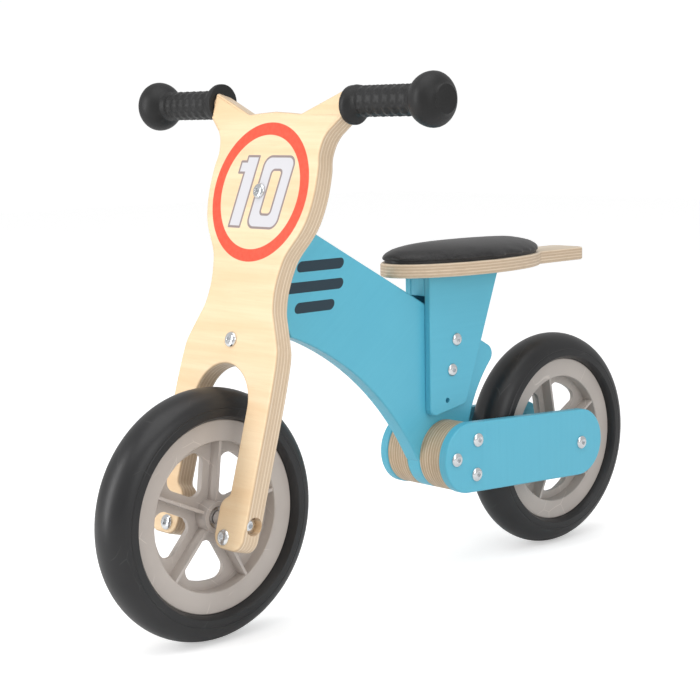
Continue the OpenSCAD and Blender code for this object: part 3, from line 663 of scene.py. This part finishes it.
# ---- Arm bolts and nuts -----------------------------------------------------------------------
# Three long zinc-plated bolts right through both arms, both drums and the frame board, set in
# a triangle, with sleeve nuts on the far side.
hardware("arm_bolts_zinc", "frame", zinc, "bright_steel", "arm_bolts")
hardware("arm_nuts_zinc", "frame", zinc, "bright_steel", "arm_nuts")


# ---- Rear wheel -------------------------------------------------------------------------------
# A five-spoke rim moulded in light warm grey plastic, with a solid foam tyre pressed into its
# channel, two sealed bearings in the hub, and an axle bolt through spacers and a sleeve.
def turn(name, profile, around=96):
    """A turned piece about z: a ring drawn at each radius and height of the profile, each
    extruded from the last, the ends closed or, for a ring-shaped piece, joined up."""
    bpy.ops.object.select_all(action="DESELECT")
    radius, height = profile[0]
    bpy.ops.mesh.primitive_circle_add(vertices=around, radius=radius, fill_type="NOTHING",
                                      location=(0, 0, height))
    piece = bpy.context.active_object
    piece.name = name
    piece.data.name = name
    bpy.ops.object.transform_apply(location=True, rotation=True, scale=True)
    bpy.ops.object.mode_set(mode="EDIT")
    bpy.ops.mesh.select_all(action="SELECT")
    closed = math.dist(profile[0], profile[-1]) < 1e-6
    if not closed:
        bpy.ops.mesh.edge_face_add()
        bpy.ops.mesh.select_all(action="SELECT")
    for (r0, z0), (r1, z1) in zip(profile, profile[1:]):
        bpy.ops.mesh.extrude_region_move(TRANSFORM_OT_translate={"value": (0, 0, z1 - z0)})
        bpy.ops.transform.resize(value=(r1 / r0, r1 / r0, 1), center_override=(0, 0, z1))
    bpy.ops.mesh.select_all(action="SELECT")
    bpy.ops.mesh.remove_doubles(threshold=2e-6)
    bpy.ops.mesh.normals_make_consistent(inside=False)
    bpy.ops.object.mode_set(mode="OBJECT")
    return piece


def tyre(name, centre):
    """A round body on a narrow foot, with a moulding line high on each side wall."""
    wall = [(0.1010 + 0.0260 * math.cos(math.radians(a)) ** 0.8,
             0.0255 * math.sin(math.radians(a))) for a in range(-90, 91, 5)]
    groove, shaped = 0.1085, []
    for point, after in zip(wall, wall[1:] + [None]):
        shaped.append(point)
        if after and (point[0] - groove) * (after[0] - groove) < 0:
            part = (groove - point[0]) / (after[0] - point[0])
            y = point[1] + part * (after[1] - point[1])
            out = 1 if y > 0 else -1
            rise = 1 if after[0] > point[0] else -1
            shaped.append((groove - rise * 0.0007, y - out * 0.00005))
            shaped.append((groove, y - out * 0.0005))
            shaped.append((groove + rise * 0.0007, y - out * 0.0002))
    foot = [(0.0980, 0.0215), (0.09705, 0.0165), (0.09705, 0.01245), (0.0796, 0.01245)]
    profile = ([(r, -z) for r, z in foot[::-1]] + shaped + foot
               + [(foot[-1][0], -foot[-1][1])])
    piece = turn(name, profile, 144)
    piece.data.transform(Matrix.Translation(centre) @ Matrix.Rotation(math.radians(90), 4, "X"))
    smooth(piece, 50)
    return piece


foam, tree, shader = new_material("black tyre foam", 0.40)
shader.inputs["Specular IOR Level"].default_value = 0.42
point = node(tree, "TexCoord").outputs["Object"]
worn = use_group(tree, marks, size=1.0, seed=19.0)
fleck = node(tree, "TexNoise", {"Vector": point, "Scale": 700.0, "Detail": 3.0}).outputs[0]
wavy = node(tree, "TexNoise", {"Vector": point, "Scale": 22.0, "Detail": 3.0}).outputs[0]
colour = blend_colour(tree, worn["Mottle"], (0.014, 0.014, 0.015), (0.021, 0.021, 0.022))
colour = blend_colour(tree, calc(tree, "MULTIPLY", worn["Scuffs"], 0.35), colour,
                      (0.07, 0.07, 0.07))
tree.links.new(colour, shader.inputs["Base Color"])
rough = calc(tree, "MULTIPLY_ADD", wavy, 0.20, 0.28)
tree.links.new(calc(tree, "MULTIPLY_ADD", worn["Scuffs"], 0.15, rough),
               shader.inputs["Roughness"])
bump(tree, shader, calc(tree, "MULTIPLY_ADD", wavy, 6.0, fleck), 0.00006, 0.6)

rim_grey = moulded("warm grey plastic", (0.47, 0.42, 0.385), (0.53, 0.48, 0.44), 0.38,
                   coat=0.08)
bearing_steel, tree, shader = new_material("bearing steel", 0.22, metallic=1.0)
worn = use_group(tree, marks, size=5.0, seed=13.0)
tree.links.new(blend_colour(tree, worn["Mottle"], (0.52, 0.53, 0.55), (0.66, 0.67, 0.68)),
               shader.inputs["Base Color"])
tree.links.new(calc(tree, "MULTIPLY_ADD", worn["Specks"], 0.15, 0.20),
               shader.inputs["Roughness"])


def wheel(end, holder, centre):
    """Rim, tyre and bearings turn together; axle, spacers and sleeve stay with the holder."""
    body = end + "_wheel"
    round_tyre = tyre(end + "_tyre_foam", centre)
    finish_piece(round_tyre, body, "tyre_foam", foam, end + "_tyre")
    rim = copy_nodes(end + "_rim_moulded", end + "_rim")
    round_edges(rim, 0.0007, 2, over=48)
    smooth(rim, 42)
    finish_piece(rim, body, "grey_plastic", rim_grey, end + "_rim")
    hardware(end + "_bearing_pair", body, bearing_steel, "bright_steel", end + "_bearings")
    hardware(end + "_hub_spacers", holder, rim_grey, "grey_plastic", end + "_spacers")
    hardware(end + "_hub_sleeve", holder, bearing_steel, "bright_steel", end + "_sleeve")
    hardware(end + "_axle_bolt", holder, zinc, "bright_steel", end + "_axle")
    hardware(end + "_axle_sleeve_nut", holder, zinc, "bright_steel", end + "_axle_nut")


wheel("rear", "frame", Vector((-0.264, 0.0, 0.127)))


# ---- Nose bushes, steering pin and blocks -----------------------------------------------------
# Two plywood blocks are bolted to the back of the fork plate. A steel pin runs down through
# both and through two white flanged bushes in the frame board's nose, with washers between.
bush_plastic = moulded("white plastic", (0.74, 0.74, 0.72), (0.82, 0.82, 0.80), 0.35)
hardware("upper_bush", "frame", bush_plastic, "white_plastic", "nose_bush_upper")
hardware("lower_bush", "frame", bush_plastic, "white_plastic", "nose_bush_lower")
hardware("head_pin", "fork", bearing_steel, "bright_steel", "steering_pin")
hardware("head_washers", "fork", zinc, "bright_steel", "steering_washers", edge=0.00012)
rake = math.radians(16)
forward = (math.cos(rake), 0.0, math.sin(rake))
upward = (-math.sin(rake), 0.0, math.cos(rake))
fork_foot = (0.264, 0.0, 0.127)
block_wood = bare_plywood("plywood, head blocks", upward, fork_foot, forward, (0.0, 1.0, 0.0),
                          0.0019, (0.80, 0.62, 0.42), (0.66, 0.48, 0.30),
                          (0.78, 0.63, 0.45), (0.54, 0.38, 0.23))[0]
for level in ("upper", "lower"):
    block = copy_nodes("head_block_" + level, "fork_block_" + level)
    round_edges(block, 0.0015, 3, small=0.0004)
    smooth(block)
    finish_piece(block, "fork", "plywood", block_wood, "fork_block_" + level)


# ---- Fork plate -------------------------------------------------------------------------------
# One birch plywood plate, sawn to a bull-headed outline: two legs astride the front tyre, two
# ears for the handles, edges rounded over, clear varnished. A red ring round a plain pale
# number is printed on its front face.
def rounded_box(tree, x, y, middle, half, corner):
    """Signed distance to an upright box with round corners, below zero inside."""
    dx = calc(tree, "SUBTRACT", calc(tree, "ABSOLUTE", calc(tree, "SUBTRACT", x, middle[0])),
              half[0] - corner)
    dy = calc(tree, "SUBTRACT", calc(tree, "ABSOLUTE", calc(tree, "SUBTRACT", y, middle[1])),
              half[1] - corner)
    out_x = calc(tree, "MAXIMUM", dx, 0.0)
    out_y = calc(tree, "MAXIMUM", dy, 0.0)
    far = calc(tree, "SQRT", calc(tree, "ADD", calc(tree, "MULTIPLY", out_x, out_x),
                                  calc(tree, "MULTIPLY", out_y, out_y)))
    near = calc(tree, "MINIMUM", calc(tree, "MAXIMUM", dx, dy), 0.0)
    return calc(tree, "SUBTRACT", calc(tree, "ADD", far, near), corner)


fork_wood, tree, shader, point, facing, colour = bare_plywood(
    "plywood, fork plate", forward, fork_foot, upward, (0.0, 1.0, 0.0), 0.00191,
    (0.93, 0.72, 0.47), (0.84, 0.58, 0.33), (0.86, 0.71, 0.54), (0.62, 0.44, 0.27), coat=0.12)
disc_up = 0.3245
across = along(tree, point, (0.0, 1.0, 0.0))
up = calc(tree, "SUBTRACT", along(tree, point, upward, fork_foot), disc_up)
front = ramp(tree, along(tree, point, forward, fork_foot), 0.0100, 0.0104)
far = calc(tree, "SQRT", calc(tree, "ADD", calc(tree, "MULTIPLY", across, across),
                              calc(tree, "MULTIPLY", up, up)))
ring = calc(tree, "MULTIPLY", ramp(tree, far, 0.0580, 0.0586),
            ramp(tree, far, 0.0707, 0.0713, 1.0, 0.0))
lean = calc(tree, "MULTIPLY_ADD", up, -0.155, across)
stem = rounded_box(tree, lean, up, (-0.0235, 0.0), (0.0098, 0.0375), 0.0015)
flag = rounded_box(tree, lean, up, (-0.0330, 0.0250), (0.0085, 0.0070), 0.0015)
hoop = rounded_box(tree, lean, up, (0.0175, 0.0), (0.0235, 0.0375), 0.0110)
hole = rounded_box(tree, lean, up, (0.0175, 0.0), (0.0065, 0.0215), 0.0030)
digits = calc(tree, "MINIMUM", calc(tree, "MINIMUM", stem, flag),
              calc(tree, "MAXIMUM", hoop, calc(tree, "MULTIPLY", hole, -1.0)))
fill = ramp(tree, digits, -0.0002, 0.0002, 1.0, 0.0)
rim_line = calc(tree, "MULTIPLY", ramp(tree, digits, -0.0026, -0.0022), fill)
ink = calc(tree, "MULTIPLY", node(tree, "TexNoise", {
    "Vector": point, "Scale": 260.0, "Detail": 3.0}).outputs[0], 0.10)
colour = blend_colour(tree, calc(tree, "MULTIPLY", calc(tree, "SUBTRACT", ring, ink),
                                 front), colour, (0.76, 0.050, 0.014))
colour = blend_colour(tree, calc(tree, "MULTIPLY", fill, front), colour, (0.66, 0.65, 0.68))
colour = blend_colour(tree, calc(tree, "MULTIPLY", rim_line, front), colour,
                      (0.30, 0.24, 0.23))
tree.links.new(colour, shader.inputs["Base Color"])
patch_heights = (0.08, 0.16, 0.20, 0.24, 0.28, disc_up, 0.37, 0.40)
patches = [(Vector((0, 0, 0)), Vector((0, 1, 0)))]
patches += [(Vector(fork_foot) + Vector(upward) * h, Vector(upward)) for h in patch_heights]
plate = sawn_board("fork_plate_plywood", "fork_plate", forward, 0.0030, 5, cuts=patches)
finish_piece(plate, "fork", "plywood", fork_wood, "fork_plate")


# ---- Fork bolts and leg bolts -----------------------------------------------------------------
# Zinc-plated dome-head bolts: two through the plate into the head blocks, and one low in each
# leg with its nut behind.
hardware("fork_bolts_zinc", "fork", zinc, "bright_steel", "fork_bolts")
hardware("leg_bolts_zinc", "fork", zinc, "bright_steel", "leg_bolts")
hardware("leg_nuts_zinc", "fork", zinc, "bright_steel", "leg_nuts")


# ---- Handles ----------------------------------------------------------------------------------
# A beech dowel on a steel stud stands out of each ear of the fork plate, and a black rubber
# grip is pushed over it: a collar at the ear, a knobbled body and a ball at the end.
dowel_wood = bare_plywood("beech dowel", (0.0, 0.0, 1.0), (0.0, 0.0, 0.529), (0.0, 1.0, 0.0),
                          (1.0, 0.0, 0.0), 0.006, (0.78, 0.56, 0.36), (0.66, 0.44, 0.26),
                          (0.78, 0.56, 0.36), (0.70, 0.48, 0.29))[0]
rubber, tree, shader = new_material("black grip rubber", 0.50)
shader.inputs["Specular IOR Level"].default_value = 0.35
point = node(tree, "TexCoord").outputs["Object"]
worn = use_group(tree, marks, size=2.0, seed=23.0)
tree.links.new(blend_colour(tree, worn["Mottle"], (0.012, 0.012, 0.012), (0.019, 0.019, 0.020)),
               shader.inputs["Base Color"])
skin = node(tree, "TexNoise", {"Vector": point, "Scale": 1100.0, "Detail": 2.0}).outputs[0]
tree.links.new(calc(tree, "MULTIPLY_ADD", skin, 0.22, 0.36), shader.inputs["Roughness"])
bump(tree, shader, skin, 0.00008, 0.5)


def grip(name, side):
    """The profile is turned, then the body's skin is pressed into rows of knobs."""
    profile = [(0.0102, 0.0), (0.0178, 0.0), (0.0189, 0.0008), (0.0190, 0.0020),
               (0.0190, 0.0046), (0.0184, 0.0066), (0.0170, 0.0086), (0.0156, 0.0108)]
    profile += [(0.0150, 0.0125 + 0.00093 * i) for i in range(78)]
    ball, back, front_half = 0.1070, 0.0233, 0.0170
    start = -math.asin((ball - 0.0860) / back)
    for i in range(1, 13):
        a = start * (1 - i / 12)
        profile.append((0.0260 * math.cos(a) if i > 1 else 0.0152, ball + back * math.sin(a)))
    for a in range(8, 64, 8):
        profile.append((0.0260 * math.cos(math.radians(a)),
                        ball + front_half * math.sin(math.radians(a))))
    profile += [(0.0140, 0.1229), (0.0134, 0.1232), (0.0128, 0.1226), (0.0050, 0.1224),
                (0.0010, 0.1224)]
    piece = turn(name, profile, 84)
    pitch = 0.0111
    for vertex in piece.data.vertices:
        x, y, z = vertex.co
        reach = math.hypot(x, y)
        turned = math.atan2(y, x)
        if 0.0115 < z < 0.0860 and reach < 0.0157:
            wave = 0.5 + 0.5 * math.cos(2 * math.pi * (z - 0.010) / pitch)
            knob = 0.5 + 0.5 * math.cos(14 * turned)
            ease = min(1.0, (z - 0.0115) / 0.003, (0.0860 - z) / 0.003)
            new = reach + ease * (0.0013 * wave * (0.45 + 0.55 * knob) - 0.0008)
            vertex.co.x, vertex.co.y = x * new / reach, y * new / reach
        if z < 0.0110 and reach > 0.012:
            vertex.co.x += -0.0035 * (1.0 - max(0.0, (z - 0.0046) / 0.0064))
    piece.data.transform(Matrix.Rotation(math.radians(-90 * side), 4, "X"))
    if side > 0:
        down = Matrix.Rotation(math.radians(-100), 4, "Y")
    else:
        down = Matrix.Rotation(math.radians(50), 4, "Y")
    piece.data.transform(Matrix.Translation(Vector((0.14878, side * 0.0992, 0.52881))) @ down)
    smooth(piece, 60)
    return piece


for side, out in (("left", 1), ("right", -1)):
    rubber_grip = grip("grip_" + side + "_rubber", out)
    finish_piece(rubber_grip, "fork", "grip_rubber", rubber, "grip_" + side)
    hardware("dowel_" + side, "fork", dowel_wood, "plywood", "handle_" + side)
hardware("dowel_studs", "fork", zinc, "bright_steel", "handle_studs")


# ---- Front wheel ------------------------------------------------------------------------------
# The same rim, tyre and bearings as at the rear. The axle's heads sit in shallow round
# recesses in the outer edges of the fork's legs.
wheel("front", "fork", Vector((0.264, 0.0, 0.127)))


# ---- Floor and light --------------------------------------------------------------------------
# A plain white studio sweep, a large soft light overhead, a tall softbox at the left for the
# highlight down the tyres, and an even white surround.
bpy.ops.object.select_all(action="DESELECT")
bpy.ops.mesh.primitive_plane_add(size=14, location=(0, 0, -0.0005))
floor = bpy.context.active_object
floor.name = "floor"
floor.data.transform(floor.matrix_world)
floor.matrix_world = Matrix.Identity(4)
floor_paint, tree, shader = new_material("white studio floor", 0.9)
shader.inputs["Base Color"].default_value = (0.92, 0.92, 0.92, 1.0)
shader.inputs["Specular IOR Level"].default_value = 0.1
shader.inputs["Emission Color"].default_value = (1.0, 1.0, 1.0, 1.0)
seen = node(tree, "LightPath").outputs["Is Camera Ray"]
tree.links.new(calc(tree, "MULTIPLY", seen, 0.42), shader.inputs["Emission Strength"])
floor.data.materials.append(floor_paint)

world = bpy.context.scene.world or bpy.data.worlds.new("studio")
bpy.context.scene.world = world
world.use_nodes = True
air = world.node_tree
air.nodes.clear()
seen = node(air, "LightPath").outputs["Is Camera Ray"]
sky = node(air, "Background", {"Color": (1.0, 1.0, 1.0, 1.0),
                               "Strength": calc(air, "MULTIPLY_ADD", seen, 0.40, 0.62)})
end = node(air, "OutputWorld", {"Surface": sky.outputs[0]})


def softbox(name, place, target, width, height, power):
    """A rectangular soft light that faces the target."""
    lamp = bpy.data.lights.new(name, "AREA")
    lamp.shape = "RECTANGLE"
    lamp.size = width
    lamp.size_y = height
    lamp.energy = power
    holder = bpy.data.objects.new(name, lamp)
    bpy.context.scene.collection.objects.link(holder)
    holder.location = place
    aim = Vector(target) - Vector(place)
    holder.rotation_euler = aim.to_track_quat("-Z", "Y").to_euler()


softbox("overhead", (0.5, 0.5, 2.4), (0.0, 0.0, 0.2), 2.2, 2.2, 22.0)
softbox("tall box", (2.3, -0.9, 0.9), (0.2, 0.0, 0.25), 0.5, 2.0, 26.0)
softbox("fill", (0.4, 2.6, 1.2), (0.0, 0.0, 0.25), 1.4, 1.4, 12.0)
